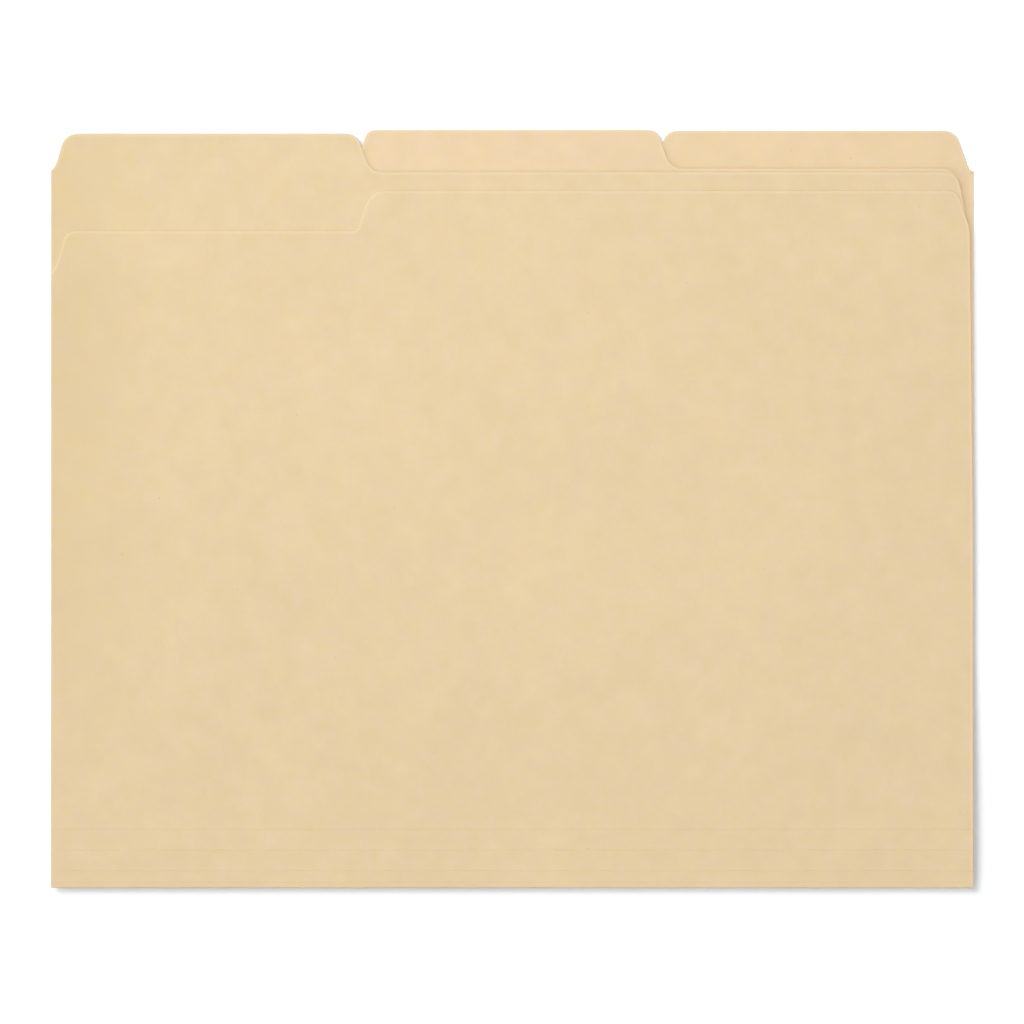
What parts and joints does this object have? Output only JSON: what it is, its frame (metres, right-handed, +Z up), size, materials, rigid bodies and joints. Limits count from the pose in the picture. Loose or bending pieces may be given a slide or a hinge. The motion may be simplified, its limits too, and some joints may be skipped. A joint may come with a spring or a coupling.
{
  "type": "file folder set",
  "caption": "Flat stack of manila file folders with one-third-cut tabs in staggered positions, with scored bottoms that let a filled folder expand.",
  "frame": {"origin": "middle of the stack's footprint, on the surface it lies on", "axes": "+X along the folds towards the right tab, +Y from the folds to the tabs, +Z up through the stack"},
  "size_m": [0.2956, 0.2428, 0.0038],
  "materials": {
    "front_board": "uncoated manila board, matt",
    "middle_board": "uncoated manila board, matt",
    "rear_board": "uncoated manila board, matt"
  },
  "bodies": {
    "rear_back": {"right_tab_folder_back_cover": "rear_board", "right_tab_folder_spine": "rear_board"},
    "rear_front": {"right_tab_folder_gusset_1": "rear_board", "right_tab_folder_gusset_2": "rear_board", "right_tab_folder_gusset_3": "rear_board", "right_tab_folder_front_cover": "rear_board"},
    "middle_back": {"centre_tab_folder_back_cover": "middle_board", "centre_tab_folder_spine": "middle_board"},
    "middle_front": {"centre_tab_folder_gusset_1": "middle_board", "centre_tab_folder_gusset_2": "middle_board", "centre_tab_folder_gusset_3": "middle_board", "centre_tab_folder_front_cover": "middle_board"},
    "front_back": {"left_tab_folder_back_cover": "front_board", "left_tab_folder_spine": "front_board"},
    "front_gusset_1": {"left_tab_folder_gusset_1": "front_board"},
    "front_gusset_2": {"left_tab_folder_gusset_2": "front_board"},
    "front_gusset_3": {"left_tab_folder_gusset_3": "front_board"},
    "front_front": {"left_tab_folder_front_cover": "front_board"}
  },
  "joints": [
    {"name": "rear_open", "type": "hinge", "parent": "rear_back", "child": "rear_front", "pos_m": [0.00015, -0.11989, 0.00053], "axis": [1, 0, 0], "range_deg": [0, 180]},
    {"name": "middle_draw", "type": "slide", "parent": "rear_front", "child": "middle_back", "axis": [0, 1, 0], "range_m": [0, 0.25]},
    {"name": "middle_open", "type": "hinge", "parent": "middle_back", "child": "middle_front", "pos_m": [-0.00015, -0.11965, 0.00189], "axis": [1, 0, 0], "range_deg": [0, 90]},
    {"name": "front_draw", "type": "slide", "parent": "middle_front", "child": "front_back", "axis": [0, 1, 0], "range_m": [0, 0.25]},
    {"name": "front_open", "type": "hinge", "parent": "front_back", "child": "front_gusset_1", "pos_m": [-0.00015, -0.12083, 0.00325], "axis": [1, 0, 0], "range_deg": [0, 180]},
    {"name": "front_score_1", "type": "hinge", "parent": "front_gusset_1", "child": "front_gusset_2", "pos_m": [-0.00015, -0.11608, 0.00364], "axis": [1, 0, 0], "range_deg": [0, 60]},
    {"name": "front_score_2", "type": "hinge", "parent": "front_gusset_2", "child": "front_gusset_3", "pos_m": [-0.00015, -0.10945, 0.00364], "axis": [1, 0, 0], "range_deg": [0, 60]},
    {"name": "front_score_3", "type": "hinge", "parent": "front_gusset_3", "child": "front_front", "pos_m": [-0.00015, -0.10282, 0.00364], "axis": [1, 0, 0], "range_deg": [0, 60]}
  ]
}
